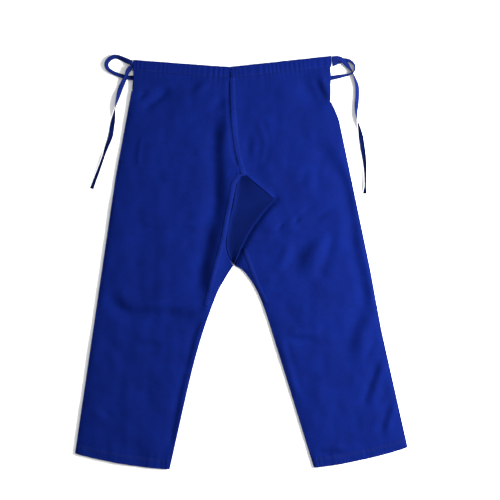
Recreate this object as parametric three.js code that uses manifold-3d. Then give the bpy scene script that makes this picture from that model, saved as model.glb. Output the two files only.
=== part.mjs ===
// Judo and jiu-jitsu trousers with a drawcord, lying flat on their back, legs spread.
// Millimetres. X to the viewer's right, Y from the hems to the waist, Z up from the floor.
// The cloth is two plies: the back ply on the floor and the front ply above it, with room
// between them for the body and the legs. Seams close the sides. Each leg folds at the knee.

import * as THREE from "three";
import Module from "manifold-3d";

const wasm = await Module();
wasm.setup();
const { CrossSection } = wasm;

// ---------------------------------------------------------------- driving dimensions

// The whole garment
const WAIST_WIDTH = 475;
const RISE = 474;
const INSEAM = 525;
const CUFF_WIDTH = 230;
const KNEE_HEIGHT = 285;

// How it lies: the centre seam stands a little left of the middle and the waist dips there.
// slack is the share of the inseam taken up in creases. The outseam's points are from the vent's
// foot, and the inseam's from the crotch.
const CROTCH = [-19, -5];
const CENTRE_X = -29;
const CENTRE_SHIFT = 6;
const CENTRE_PULL = [-27, 281];
const LEGS = {
  left: {
    sign: -1, cornerRise: 17, ventLength: 72, ventLean: 3.5, spread: 17.45, slack: 0.018, hemTilt: 9.5,
    outseam: [[-38.6, -206.4]],
    inseam: [[-22, -35], [-47, -85], [-94, -229]],
  },
  right: {
    sign: 1, cornerRise: 26.5, ventLength: 109, ventLean: 0, spread: 21.58, slack: 0, hemTilt: 12.4,
    outseam: [[12, -25], [19.5, -44.5], [94.5, -404], [121, -548.5]],
    inseam: [[29, -21], [66, -85], [113, -229]],
  },
};
const BACK_DROP = 12;
const HEM_BOW = 5.5;

// Cloth and seams
const CLOTH = 1.2;
const PLY_GAP = 10;
const CLEARANCE = 0.3;
const SIDE_SEAM_WIDTH = 3;
const FELLED_SEAM = { width: 14, thickness: 0.9, belowFrontCasing: 8, belowBackCasing: 2 };
const GUSSET_SEAM_WIDTH = 10;
const HEM = { depth: 24, thickness: 2 };
const FACING = { width: 20, thickness: 0.8, below: 6 };

// Gusset and the felled seams beside it, measured from the crotch
const GUSSET = {
  top: [17, 222],
  tip: [98, 155],
  foldBow: [41, 110],
  seam: [[-14, 29], [-17, 61], [-11, 103], [-1, 145], [6, 187]],
  leftFell: [[0, 195], [-16, 115], [-25, 61], [-53, -40]],
  rightFell: [[24, 38], [40, -2], [56, -46], [78, -92]],
  backTop: [15, 195],
  backHalfWidth: 55,
  backHeight: 67,
};

// Waist casing and the flat tape in it
const CASING = { depth: 26, wall: 0.8, step: 0.1 };
const TAPE = { width: 12, thickness: 1, edge: 0.3 };
const TAIL_IN_CASING = 130;

// Each run of tape lies against one side of the casing
const TAPE_OFFSET = CASING.depth / 2 - CASING.wall - CLEARANCE - TAPE.width / 2;

// Heights that follow from them
const FRONT_BOTTOM = CLOTH + PLY_GAP;
const FRONT_TOP = FRONT_BOTTOM + CLOTH;
const FRONT_CASING_HEIGHT = 2 * CASING.wall + 2 * TAPE.thickness + 3 * CLEARANCE;
const FRONT_CASING_TOP = FRONT_TOP + CASING.wall + CASING.step;
const FRONT_CASING_BOTTOM = FRONT_CASING_TOP - FRONT_CASING_HEIGHT;
const BACK_CASING_HEIGHT = 2 * CASING.wall + TAPE.thickness + 2 * CLEARANCE;
const LOWER_TAPE_Z = FRONT_CASING_BOTTOM + CASING.wall + CLEARANCE + TAPE.thickness / 2;
const UPPER_TAPE_Z = LOWER_TAPE_Z + TAPE.thickness + CLEARANCE;
const BACK_TAPE_Z = CASING.wall + CLEARANCE + TAPE.thickness / 2;

const CURVE_STEPS = 18;
const HEM_STEPS = 8;
const FAR = 2000;

// ---------------------------------------------------------------- points of the lay

const crotch = new THREE.Vector2(...CROTCH);
const dip = new THREE.Vector2(CENTRE_X, crotch.y + RISE);
const backTop = dip.y - BACK_DROP;
const up = new THREE.Vector3(0, 0, 1);

function from(origin, offsets) {
  return offsets.map(([x, y]) => new THREE.Vector2(origin.x + x, origin.y + y));
}

function legPoints(leg) {
  const { sign, cornerRise, ventLength, ventLean, spread, slack, hemTilt } = leg;
  const spreadAngle = THREE.MathUtils.degToRad(spread);
  const tilt = THREE.MathUtils.degToRad(hemTilt);
  const halfWaist = WAIST_WIDTH / 2 + sign * CENTRE_SHIFT;
  const corner = new THREE.Vector2(dip.x + sign * halfWaist, dip.y + cornerRise);
  const ventFoot = new THREE.Vector2(corner.x + sign * ventLean, corner.y - ventLength);
  const hemAlong = new THREE.Vector2(sign * Math.cos(tilt), Math.sin(tilt));
  const upLeg = new THREE.Vector2(-sign * Math.sin(tilt), Math.cos(tilt));
  const downLeg = new THREE.Vector2(sign * Math.sin(spreadAngle), -Math.cos(spreadAngle));
  const hemInner = crotch.clone().addScaledVector(downLeg, INSEAM * (1 - slack));
  const hemOuter = hemInner.clone().addScaledVector(hemAlong, CUFF_WIDTH);
  const innerThigh = from(crotch, leg.inseam);
  const inseam = new THREE.SplineCurve([crotch, ...innerThigh, hemInner]).getPoints(CURVE_STEPS);
  const outseam = [ventFoot, ...from(ventFoot, leg.outseam), hemOuter];
  const hemPull = hemOuter.clone().add(hemInner).multiplyScalar(0.5).addScaledVector(upLeg, -2 * HEM_BOW);
  const hem = new THREE.QuadraticBezierCurve(hemOuter, hemPull, hemInner);
  return { sign, corner, ventFoot, hemAlong, upLeg, hemInner, hemOuter, inseam, outseam, hem };
}

const left = legPoints(LEGS.left);
const right = legPoints(LEGS.right);

// ---------------------------------------------------------------- plan outlines

function area(points) {
  return new CrossSection([points.map((p) => [p.x, p.y])], "NonZero");
}

function points(...pairs) {
  return pairs.map(([x, y]) => new THREE.Vector2(x, y));
}

// A band of cloth along a line. inner and outer are its edges' distances to the line's left.
function band(line, inner, outer) {
  const sides = [inner, outer].map((distance) =>
    line.map((point, i) => {
      const before = line[Math.max(i - 1, 0)];
      const after = line[Math.min(i + 1, line.length - 1)];
      const along = after.clone().sub(before).normalize();
      return new THREE.Vector2(point.x - along.y * distance, point.y + along.x * distance);
    }),
  );
  return area([...sides[0], ...sides[1].reverse()]);
}

function centredBand(line, width) {
  return band(line, -width / 2, width / 2);
}

// Everything on the hem's side of a line across the leg, at a height above the hem
function belowLine(leg, height, gap) {
  const start = leg.hemInner.clone().addScaledVector(leg.upLeg, height - gap);
  const inward = start.clone().addScaledVector(leg.hemAlong, -CUFF_WIDTH);
  const outward = start.clone().addScaledVector(leg.hemAlong, 2 * CUFF_WIDTH);
  const drop = leg.upLeg.clone().multiplyScalar(-FAR);
  return area([inward, outward, outward.clone().add(drop), inward.clone().add(drop)]);
}

function sideOfCentre(line, sign, gap) {
  const edge = line.map((p) => new THREE.Vector2(p.x + sign * gap, p.y));
  const first = edge[0];
  const last = edge[edge.length - 1];
  return area([
    new THREE.Vector2(first.x, FAR),
    ...edge,
    new THREE.Vector2(last.x, -FAR),
    new THREE.Vector2(sign * FAR, -FAR),
    new THREE.Vector2(sign * FAR, FAR),
  ]);
}

const [gussetTop, gussetTip, foldBow, backGussetTop] = from(
  crotch, [GUSSET.top, GUSSET.tip, GUSSET.foldBow, GUSSET.backTop]);
const foldEdge = new THREE.QuadraticBezierCurve(gussetTip, foldBow, crotch).getPoints(CURVE_STEPS);
const gussetSeam = from(crotch, GUSSET.seam);
const gusset = area([gussetTop, gussetTip, ...foldEdge.slice(1), ...gussetSeam]);
const centreLine = new THREE.QuadraticBezierCurve(
  dip,
  new THREE.Vector2(...CENTRE_PULL),
  gussetTop,
).getPoints(CURVE_STEPS);
const centreSplit = [...centreLine, crotch];

const backCorner = crotch.clone().add(new THREE.Vector2(0, GUSSET.backHeight));
const backGusset = area([
  backGussetTop,
  backCorner.clone().add(new THREE.Vector2(-GUSSET.backHalfWidth, 0)),
  crotch,
  backCorner.clone().add(new THREE.Vector2(GUSSET.backHalfWidth, 0)),
]);
const backLine = [new THREE.Vector2(dip.x, backTop), backGussetTop];
const backSplit = [...backLine, crotch];

const legSides = [
  ...left.outseam,
  ...left.hem.getPoints(HEM_STEPS).slice(1, -1),
  ...left.inseam.slice(1).reverse(),
  crotch,
  ...right.inseam.slice(1),
  ...right.hem.getPoints(HEM_STEPS).slice(1, -1).reverse(),
  ...right.outseam.slice().reverse(),
];
const frontOutline = area([left.corner, ...legSides, right.corner, dip]);
const backLeft = new THREE.Vector2(left.corner.x, backTop);
const backRight = new THREE.Vector2(right.corner.x, backTop);
const backOutline = area([backLeft, ...legSides, backRight]);

// The waist edges, each from its right end to its left end
const waistEdges = {
  left: [dip, left.corner],
  right: [right.corner, dip],
  back: [backRight, backLeft],
};

// ---------------------------------------------------------------- meshes

const group = new THREE.Group();

function add(name, geometry, color = 0x16297f) {
  const material = new THREE.MeshStandardMaterial({ color, roughness: 0.9, metalness: 0 });
  const mesh = new THREE.Mesh(geometry, material);
  mesh.name = name;
  group.add(mesh);
  return mesh;
}

// A flat piece of cloth: a plan outline between two heights
function addCloth(name, outline, bottom, thickness, color) {
  const shapes = outline
    .simplify(0.02)
    .toPolygons()
    .map((polygon) => new THREE.Shape(polygon.map(([x, y]) => new THREE.Vector2(x, y))));
  if (shapes.length !== 1) {
    throw new Error(`${name} has ${shapes.length} outlines, and a piece of cloth has one`);
  }
  const geometry = new THREE.ExtrudeGeometry(shapes[0], { depth: thickness, bevelEnabled: false });
  add(name, geometry, color).position.z = bottom;
}

// Upper and lower parts of each ply of each leg, with the hem's turn-up along the bottom
function addLegCloth(side, leg, ply) {
  const { outline, split, cut, bottom } = ply;
  const inside = outline
    .offset(-SIDE_SEAM_WIDTH - CLEARANCE, "Miter", 2)
    .intersect(sideOfCentre(split, leg.sign, CLEARANCE / 2))
    .subtract(cut);
  const belowKnee = belowLine(leg, KNEE_HEIGHT, CLEARANCE / 2);
  const kneeCut = belowLine(leg, KNEE_HEIGHT, -CLEARANCE / 2);
  const hemCut = belowLine(leg, HEM.depth, -CLEARANCE / 2);
  const hem = outline
    .offset(-SIDE_SEAM_WIDTH - CLEARANCE, "Miter", 2)
    .add(hemEdge(leg))
    .intersect(belowLine(leg, HEM.depth, CLEARANCE / 2))
    .intersect(sideOfCentre(split, leg.sign, CLEARANCE / 2));
  addCloth(`${side}_${ply.name}_panel`, inside.subtract(kneeCut), bottom, CLOTH);
  addCloth(`${side}_${ply.name}_shin`, inside.intersect(belowKnee).subtract(hemCut), bottom, CLOTH);
  const hemBottom = ply.name === "front" ? bottom + CLOTH - HEM.thickness : bottom;
  addCloth(`${side}_${ply.name}_hem`, hem, hemBottom, HEM.thickness, 0x142572);
}

// The strip of the cuff between the two side seams, down to the hem's edge
function hemEdge(leg) {
  const end = (SIDE_SEAM_WIDTH + 2 * CLEARANCE) / CUFF_WIDTH;
  const edge = [];
  for (let i = 0; i <= HEM_STEPS; i += 1) {
    edge.push(leg.hem.getPoint(end + (1 - 2 * end) * (i / HEM_STEPS)));
  }
  const lift = leg.upLeg.clone().multiplyScalar(HEM.depth / 2);
  return area([...edge, edge[HEM_STEPS].clone().add(lift), edge[0].clone().add(lift)]);
}

// Outseam and inseam, each in two parts that meet at the knee
function addSideSeams(side, leg) {
  const outseam = band(leg.outseam, 0, -leg.sign * SIDE_SEAM_WIDTH);
  const inseam = band(leg.inseam.slice(1), 0, leg.sign * SIDE_SEAM_WIDTH);
  const seams = { outseam, inseam };
  for (const [name, seam] of Object.entries(seams)) {
    const upper = seam.subtract(belowLine(leg, KNEE_HEIGHT, -CLEARANCE / 2));
    const lower = seam.intersect(belowLine(leg, KNEE_HEIGHT, CLEARANCE / 2));
    addCloth(`${side}_${name}_thigh`, upper, 0, FRONT_TOP, 0x122068);
    addCloth(`${side}_${name}_shin`, lower, 0, FRONT_TOP, 0x122068);
  }
}

// The turned edges of the side vents, inside the front ply and inside the back ply
function addVentFacings(side, leg) {
  const topLimit = backTop - CASING.depth - CLEARANCE;
  const frontTopPoint = leg.corner.clone();
  frontTopPoint.y -= CASING.depth + FACING.below;
  const backTopPoint = new THREE.Vector2(leg.corner.x, topLimit);
  const inset = SIDE_SEAM_WIDTH + CLEARANCE;
  const frontStrip = band(
    [frontTopPoint, leg.ventFoot], -leg.sign * inset, -leg.sign * (inset + FACING.width));
  const backFoot = leg.ventFoot.clone();
  backFoot.y = Math.min(backFoot.y, topLimit - FACING.width);
  const backStrip = band(
    [backTopPoint, backFoot], -leg.sign * inset, -leg.sign * (inset + FACING.width));
  const frontZ = FRONT_BOTTOM - CLEARANCE - FACING.thickness;
  addCloth(`${side}_front_vent_facing`, frontStrip, frontZ, FACING.thickness);
  addCloth(`${side}_back_vent_facing`, backStrip, CLOTH + CLEARANCE, FACING.thickness);
}

// The waist hem: a flat tube with square ends, open for the drawcord at both of them
function addCasing(name, [east, west], bottom, height, endGap) {
  const along = west.clone().sub(east);
  const length = along.length() - endGap.east - endGap.west;
  along.normalize();
  const westward = new THREE.Vector3(along.x, along.y, 0);
  const inward = new THREE.Vector3().crossVectors(up, westward);
  const outer = new THREE.Shape(points([0, 0], [CASING.depth, 0], [CASING.depth, height], [0, height]));
  const deep = CASING.depth - CASING.wall;
  const tall = height - CASING.wall;
  outer.holes.push(
    new THREE.Path(points(
      [CASING.wall, CASING.wall], [CASING.wall, tall], [deep, tall], [deep, CASING.wall],
    )),
  );
  const geometry = new THREE.ExtrudeGeometry(outer, { depth: length, bevelEnabled: false });
  const mesh = add(name, geometry, 0x1a2f8c);
  mesh.quaternion.setFromRotationMatrix(new THREE.Matrix4().makeBasis(inward, up, westward));
  mesh.position.set(east.x, east.y, bottom).addScaledVector(westward, endGap.east);
}

// A point inside a casing: distance from its east end, and offset from its middle line
function inCasing([east, west], distance, offset) {
  const along = west.clone().sub(east).normalize();
  const outward = new THREE.Vector2(along.y, -along.x);
  return east.clone().addScaledVector(along, distance)
    .addScaledVector(outward, offset - CASING.depth / 2);
}

// A flat stretch of tape inside a casing
function addHiddenTape(name, line, middleZ) {
  addCloth(name, centredBand(line, TAPE.width), middleZ - TAPE.thickness / 2, TAPE.thickness, 0x10205f);
}

// A free stretch of tape along a route
function addFreeTape(name, route, steps) {
  const curve = new THREE.CatmullRomCurve3(route.map(([x, y, z]) => new THREE.Vector3(x, y, z)));
  const w = TAPE.width / 2;
  const t = TAPE.thickness / 2;
  const e = TAPE.edge;
  const section = new THREE.Shape(points(
    [t, e - w], [t, w - e], [t - e, w], [e - t, w],
    [-t, w - e], [-t, e - w], [e - t, -w], [t - e, -w]));
  add(name, new THREE.ExtrudeGeometry(section, { extrudePath: curve, steps, bevelEnabled: false }), 0x10205f);
}

// ---------------------------------------------------------------- trousers

// Front and back plies, cut clear of the casings and the gusset
const clearOfCasing = (edge) => band(edge, -CASING.depth, CASING.depth + CLEARANCE);
const frontPly = {
  name: "front",
  outline: frontOutline,
  split: centreSplit,
  cut: gusset.offset(CLEARANCE, "Miter", 2)
    .add(clearOfCasing([right.corner, dip, left.corner])),
  bottom: FRONT_BOTTOM,
};
const backPly = {
  name: "back",
  outline: backOutline,
  split: backSplit,
  cut: backGusset.offset(CLEARANCE, "Miter", 2).add(clearOfCasing(waistEdges.back)),
  bottom: 0,
};
for (const [side, leg] of Object.entries({ left, right })) {
  addLegCloth(side, leg, frontPly);
  addLegCloth(side, leg, backPly);
  addSideSeams(side, leg);
  addVentFacings(side, leg);
}

// Gusset, front and back halves, clear of the inseams at the crotch
const seamLine = -SIDE_SEAM_WIDTH - CLEARANCE;
addCloth("gusset_front", gusset.intersect(frontOutline.offset(seamLine, "Miter", 2)), FRONT_BOTTOM, CLOTH);
addCloth("gusset_back", backGusset.intersect(backOutline.offset(seamLine, "Miter", 2)), 0, CLOTH);

// Flat-felled seams lie on the front ply and inside the back ply
const seamTop = FRONT_TOP + CLEARANCE;
const seamStart = inCasing(waistEdges.left, 0, -CASING.depth / 2 - FELLED_SEAM.belowFrontCasing);
const frontSeamLine = centreLine.filter((p) => p.y < seamStart.y);
addCloth("centre_front_seam", centredBand(frontSeamLine, FELLED_SEAM.width), seamTop, FELLED_SEAM.thickness);
const backSeamTop = backTop - CASING.depth - FELLED_SEAM.belowBackCasing;
const backSeamLine = [new THREE.Vector2(dip.x, backSeamTop), backGussetTop];
addCloth(
  "centre_back_seam",
  centredBand(backSeamLine, FELLED_SEAM.width),
  CLOTH + CLEARANCE,
  FELLED_SEAM.thickness,
);
const leftSeamLine = from(crotch, GUSSET.leftFell);
const rightSeamLine = from(crotch, GUSSET.rightFell);
addCloth("left_gusset_seam", centredBand(leftSeamLine, GUSSET_SEAM_WIDTH), seamTop, FELLED_SEAM.thickness);
addCloth("right_gusset_seam", centredBand(rightSeamLine, GUSSET_SEAM_WIDTH), seamTop, FELLED_SEAM.thickness);

// Waist casings. The front one is sewn in two halves that meet over the centre seam.
const centreEnd = CLEARANCE;
addCasing("waist_casing_front_left", waistEdges.left, FRONT_CASING_BOTTOM, FRONT_CASING_HEIGHT,
  { east: centreEnd, west: 0 });
addCasing("waist_casing_front_right", waistEdges.right, FRONT_CASING_BOTTOM, FRONT_CASING_HEIGHT,
  { east: 0, west: centreEnd });
addCasing("waist_casing_back", waistEdges.back, 0, BACK_CASING_HEIGHT, { east: 0, west: 0 });

// ---------------------------------------------------------------- drawcord

// One tape: left tail, front casing, right loop, back casing, left loop, front casing, right tail
const leftLength = dip.distanceTo(left.corner);
const rightLength = dip.distanceTo(right.corner);
const backLength = backRight.distanceTo(backLeft);

addHiddenTape("drawcord_left_root", [
  inCasing(waistEdges.left, leftLength - TAIL_IN_CASING, -TAPE_OFFSET),
  inCasing(waistEdges.left, leftLength, -TAPE_OFFSET),
], LOWER_TAPE_Z);
addHiddenTape("drawcord_front_run_lower", [
  inCasing(waistEdges.right, 0, -TAPE_OFFSET),
  inCasing(waistEdges.right, rightLength, -TAPE_OFFSET),
  inCasing(waistEdges.left, leftLength - TAIL_IN_CASING - CLEARANCE, -TAPE_OFFSET),
], LOWER_TAPE_Z);
addHiddenTape("drawcord_right_root", [
  inCasing(waistEdges.right, 0, TAPE_OFFSET),
  inCasing(waistEdges.right, TAIL_IN_CASING, TAPE_OFFSET),
], UPPER_TAPE_Z);
addHiddenTape("drawcord_front_run_upper", [
  inCasing(waistEdges.right, TAIL_IN_CASING + CLEARANCE, TAPE_OFFSET),
  inCasing(waistEdges.left, 0, TAPE_OFFSET),
  inCasing(waistEdges.left, leftLength, TAPE_OFFSET),
], UPPER_TAPE_Z);
addHiddenTape("drawcord_back_run", [
  inCasing(waistEdges.back, 0, 0),
  inCasing(waistEdges.back, backLength, 0),
], BACK_TAPE_Z);

addFreeTape("drawcord_left_tail", [
  [-262.3, 467.2, 10.4], [-266.3, 467.5, 10.4], [-272.5, 461, 9.4], [-277, 451, 7.2], [-282.5, 439, 4.4],
  [-287.5, 428, 2.2], [-292, 418, 2.0], [-299.5, 390, 1.8], [-304, 371, 1.8],
  [-311, 332, 1.8], [-316, 303, 1.8], [-326, 275, 1.8], [-335.5, 246, 1.8],
  [-346, 217, 1.8], [-357, 188, 1.8], [-360.5, 177, 1.8],
], 22);
addFreeTape("drawcord_left_loop", [
  [-261.4, 479, 11.7], [-265.4, 479.3, 11.7], [-274, 483.5, 10], [-285, 489, 7], [-299, 494.5, 2.8],
  [-309, 494, 1.9], [-320, 487, 1.8], [-325.5, 477, 1.8], [-322, 466, 1.8],
  [-311, 457.5, 1.8], [-300.5, 452.8, 1.8], [-290, 449, 1.8], [-275, 445, 1.9], [-266, 444, 1.6],
  [-260.9, 444, 1.6],
], 20);
addFreeTape("drawcord_right_loop", [
  [216.9, 476.8, 10.4], [220.9, 477.2, 10.4], [227, 480, 8.4], [236, 484, 5.2], [248, 486.8, 2.2],
  [260, 484.5, 2.0], [269.5, 476.5, 1.8], [272, 466, 1.8], [267.5, 456.5, 1.8],
  [255, 451, 1.8], [245.5, 448.8, 1.8], [236, 447, 1.8], [225, 445, 1.9], [219, 444, 1.6],
  [214.9, 444, 1.6],
], 18);
addFreeTape("drawcord_right_tail", [
  [215.7, 488.5, 11.7], [219.7, 488.9, 11.7], [228, 490, 11.2], [238, 488, 9.8], [250, 478, 7.2],
  [265.5, 457.5, 4.6], [272, 443, 2.6], [277.5, 424, 2.0], [278, 400, 1.8],
  [275.5, 366, 1.8], [278, 344, 1.8], [286.5, 304, 1.8], [291, 275, 1.8],
  [295, 246, 1.8], [297, 217, 1.8], [297, 188, 1.8], [296, 165, 1.8],
], 24);

export default group;
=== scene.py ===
from math import pi, radians

import bmesh
import bpy
import numpy as np
from mathutils import Matrix, Vector, noise


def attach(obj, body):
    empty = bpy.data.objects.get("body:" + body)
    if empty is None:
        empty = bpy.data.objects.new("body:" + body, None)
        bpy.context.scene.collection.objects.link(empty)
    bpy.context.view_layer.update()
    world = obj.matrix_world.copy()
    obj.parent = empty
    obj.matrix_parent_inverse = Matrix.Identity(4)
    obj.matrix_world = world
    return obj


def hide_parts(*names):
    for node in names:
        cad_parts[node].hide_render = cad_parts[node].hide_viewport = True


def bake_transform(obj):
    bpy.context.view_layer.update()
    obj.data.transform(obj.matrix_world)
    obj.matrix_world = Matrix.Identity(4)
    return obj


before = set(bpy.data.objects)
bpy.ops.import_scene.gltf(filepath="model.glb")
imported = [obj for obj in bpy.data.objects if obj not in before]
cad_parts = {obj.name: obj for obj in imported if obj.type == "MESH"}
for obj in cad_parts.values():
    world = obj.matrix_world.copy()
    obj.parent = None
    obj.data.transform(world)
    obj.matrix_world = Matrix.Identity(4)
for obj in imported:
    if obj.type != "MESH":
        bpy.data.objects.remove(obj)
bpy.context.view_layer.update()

# ---------------------------------------------------------------- the table and its light
# The trousers lie on a plain white table under one large soft light from the
# upper right, with even light from all round filling the shadows.

MM = 0.001


def linear(code):
    """A hex colour as the linear colour that a shader takes."""
    parts = [int(code[i:i + 2], 16) / 255 for i in (1, 3, 5)]
    return [p / 12.92 if p <= 0.04045 else ((p + 0.055) / 1.055) ** 2.4 for p in parts] + [1.0]


def put(tree, kind, sockets=None, **settings):
    """Adds one node to a material, with its settings, its values and its links."""
    node = tree.nodes.new("ShaderNode" + kind)
    for name, value in settings.items():
        setattr(node, name, value)
    for name, value in (sockets or {}).items():
        if isinstance(value, bpy.types.NodeSocket):
            tree.links.new(value, node.inputs[name])
        else:
            node.inputs[name].default_value = value
    return node


def blank_material(name):
    """A new material with an empty tree and its output node."""
    material = bpy.data.materials.new(name)
    material.use_nodes = True
    material.node_tree.nodes.clear()
    return material, material.node_tree


TABLE_REACH = 4.0
TABLE_GAP = 0.0006

# painted board, sprayed matt: hardly any gloss, a trace of unevenness in the paint
table_paint, tree = blank_material("matt_white_paint")
place = put(tree, "TexCoord")
mottle = put(tree, "TexNoise", {"Vector": place.outputs["Object"], "Scale": 9.0, "Detail": 2.0})
tint = put(tree, "ValToRGB", {"Fac": mottle.outputs["Fac"]})
tint.color_ramp.elements[0].color = linear("#F7F8FA")
tint.color_ramp.elements[1].color = linear("#FBFBFC")
board = put(tree, "BsdfPrincipled", {"Base Color": tint.outputs["Color"], "Roughness": 0.9,
                                     "Specular IOR Level": 0.1})
put(tree, "OutputMaterial", {"Surface": board.outputs["BSDF"]})

bm = bmesh.new()
bmesh.ops.create_grid(bm, x_segments=1, y_segments=1, size=TABLE_REACH)
bmesh.ops.translate(bm, verts=bm.verts, vec=(0, 0, -TABLE_GAP))
mesh = bpy.data.meshes.new("table_top")
bm.to_mesh(mesh)
bm.free()
mesh.materials.append(table_paint)
table_top = bpy.data.objects.new("table_top", mesh)
bpy.context.collection.objects.link(table_top)

world = bpy.data.worlds.new("even_light")
world.use_nodes = True
world.node_tree.nodes["Background"].inputs["Color"].default_value = (1.0, 1.0, 1.0, 1.0)
world.node_tree.nodes["Background"].inputs["Strength"].default_value = 0.6
bpy.context.scene.world = world
bpy.context.scene.view_settings.view_transform = "Standard"


def soft_light(name, where, aim, size, power):
    """One square studio light, hung at where and turned to aim."""
    lamp = bpy.data.lights.new(name, "AREA")
    lamp.shape = "SQUARE"
    lamp.size = size
    lamp.energy = power
    light = bpy.data.objects.new(name, lamp)
    light.location = where
    light.rotation_euler = (Vector(aim) - Vector(where)).to_track_quat("-Z", "Y").to_euler()
    bpy.context.collection.objects.link(light)


soft_light("key_light", (1.55, 0.2, 1.15), (0, 0, 0), 1.0, 165)
soft_light("top_light", (0.3, 0.1, 3.6), (0, 0, 0), 3.0, 18)

CAMERA_PLACE = (0.0199, 0.030, 3.0)
VIEW_WIDTH = 1.2
CLOTH_LEVEL = 0.01
lens = bpy.data.cameras.new("camera")
lens.sensor_width = 36
lens.lens = lens.sensor_width * (CAMERA_PLACE[2] - CLOTH_LEVEL) / VIEW_WIDTH
camera = bpy.data.objects.new("camera", lens)
camera.location = CAMERA_PLACE
bpy.context.collection.objects.link(camera)
bpy.context.scene.camera = camera

# ---------------------------------------------------------------- drawcord
# One flat woven cotton tape, 12 mm wide, threaded through the waist casings. It
# leaves each side twice: once as a tail with a cut end and once as a loop that
# runs back into the other casing. Limp, it lies on the table where it falls.

TAPE_WIDTH = 12.0
TAPE_THICKNESS = 0.8
TAPE_STEP = 2
# above this height the tape hangs free, and it comes to rest on the table within the next few mm
CLEAR_OF_TABLE = 6.0
TOUCHING_DOWN = 3.0
TAPE_CLEARANCE = 0.7


def lengths(line):
    """How far along a line each of its points is."""
    return np.concatenate([[0.0], np.cumsum(np.linalg.norm(np.diff(line, axis=0), axis=1))])


def pick(line, shares):
    """The points at these shares of a line's length."""
    run = lengths(line)
    return np.stack([np.interp(np.asarray(shares) * run[-1], run, line[:, i])
                     for i in range(line.shape[1])], axis=-1)


def smooth(points, steps=8):
    """A curve through every point, with no corner at any of them."""
    points = np.array(points, float)
    ends = np.vstack([2 * points[0] - points[1], points, 2 * points[-1] - points[-2]])
    parts = []
    for a, b, c, d in zip(ends, ends[1:], ends[2:], ends[3:]):
        t = np.linspace(0, 1, steps, endpoint=False)[:, None]
        parts.append(0.5 * (2 * b + (c - a) * t + (2 * a - 5 * b + 4 * c - d) * t ** 2
                            + (3 * b - 3 * c + d - a) * t ** 3))
    return np.vstack(parts + [points[-1:]])


def cloth_weave(name, light, dark, twill, rough, sheen, tilt=62):
    """Woven cotton with a twill line every so many mm, coloured from dark to light, darker in the twill's
    valleys as painted shade.
    """
    material, tree = blank_material(name)
    where = put(tree, "UVMap")
    turn = put(tree, "Mapping", {"Vector": where.outputs["UV"], "Rotation": (0, 0, radians(tilt))})
    # the twill lines, twill mm apart: a wave texture's bands are 2 pi / 20 / scale apart
    rib = put(tree, "TexWave", {"Vector": turn.outputs["Vector"], "Scale": 0.1 * pi / (twill * MM),
                                "Distortion": 0.6, "Detail": 1.0, "Detail Scale": 2.0})
    # yarns of uneven thickness, wear and fading in patches a hand wide, and small uneven flecks of dye
    slub = put(tree, "TexNoise", {"Vector": where.outputs["UV"], "Scale": 1 / (1.4 * MM), "Detail": 2.0})
    wash = put(tree, "TexNoise", {"Vector": where.outputs["UV"], "Scale": 1 / (70 * MM), "Detail": 4.0,
                                  "Roughness": 0.6})
    fleck = put(tree, "TexNoise", {"Vector": where.outputs["UV"], "Scale": 1 / (7 * MM), "Detail": 3.0,
                                   "Roughness": 0.7})
    grain = put(tree, "Math", {0: rib.outputs["Fac"], 1: slub.outputs["Fac"]}, operation="MULTIPLY")
    # painted shade: the colour follows the twill's ridges and is darker in its valleys, and the yarns'
    # uneven thickness shows in it too
    shade = put(tree, "Math", {0: grain.outputs["Value"], 1: 0.5, 2: -0.28}, operation="MULTIPLY_ADD")
    patchy = put(tree, "Math", {0: fleck.outputs["Fac"], 1: 0.55, 2: shade.outputs["Value"]},
                 operation="MULTIPLY_ADD")
    cloudy = put(tree, "Math", {0: wash.outputs["Fac"], 1: 0.75, 2: patchy.outputs["Value"]},
                 operation="MULTIPLY_ADD")
    dye_and_valley_shade = put(tree, "ValToRGB", {"Fac": cloudy.outputs["Value"]})
    dye_and_valley_shade.color_ramp.elements[0].color = linear(dark)
    dye_and_valley_shade.color_ramp.elements[1].color = linear(light)
    lift = put(tree, "Bump", {"Height": grain.outputs["Value"], "Strength": 0.5, "Distance": 0.0004})
    gloss = put(tree, "Math", {0: grain.outputs["Value"], 1: -0.12, 2: rough}, operation="MULTIPLY_ADD")
    cloth = put(tree, "BsdfPrincipled", {"Base Color": dye_and_valley_shade.outputs["Color"],
                                         "Roughness": gloss.outputs["Value"],
                                         "Normal": lift.outputs["Normal"], "IOR": 1.5,
                                         "Specular IOR Level": 0.03, "Sheen Weight": sheen,
                                         "Sheen Roughness": 0.5, "Sheen Tint": linear("#5F7BE0")})
    put(tree, "OutputMaterial", {"Surface": cloth.outputs["BSDF"]})
    return material


def lay(name, columns, rows, spot, flat, thickness, material, closed=False):
    """A woven piece: a grid of flat = (width, length) mm, each point at spot(across, along) in mm."""
    bm = bmesh.new()
    uv_map = bm.loops.layers.uv.new("UVMap")
    bmesh.ops.create_grid(bm, x_segments=columns, y_segments=rows, size=0.5)
    for face in bm.faces:
        for corner in face.loops:
            at = corner.vert.co
            corner[uv_map].uv = ((at.x + 0.5) * flat[0] * MM, (at.y + 0.5) * flat[1] * MM)
    shares = np.array([vert.co for vert in bm.verts]) + 0.5
    for vert, point in zip(bm.verts, spot(shares[:, 0], shares[:, 1])):
        vert.co = point * MM
    if closed:
        bmesh.ops.remove_doubles(bm, verts=bm.verts, dist=0.00002)
    bmesh.ops.recalc_face_normals(bm, faces=bm.faces)
    for face in bm.faces:
        face.smooth = True
    mesh = bpy.data.meshes.new(name)
    bm.to_mesh(mesh)
    bm.free()
    mesh.materials.append(material)
    piece = bpy.data.objects.new(name, mesh)
    bpy.context.collection.objects.link(piece)
    wall = piece.modifiers.new("cloth_thickness", "SOLIDIFY")
    wall.thickness = thickness * MM
    wall.offset = 0
    return piece


# cotton tape, woven flat and dyed: thick, soft and matt, darker than the drill, its ribs 1.2 mm apart
cotton_tape = cloth_weave("cotton_twill_tape", "#0A1A58", "#040A34", 1.2, 0.85, 0.02, tilt=35)


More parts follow.
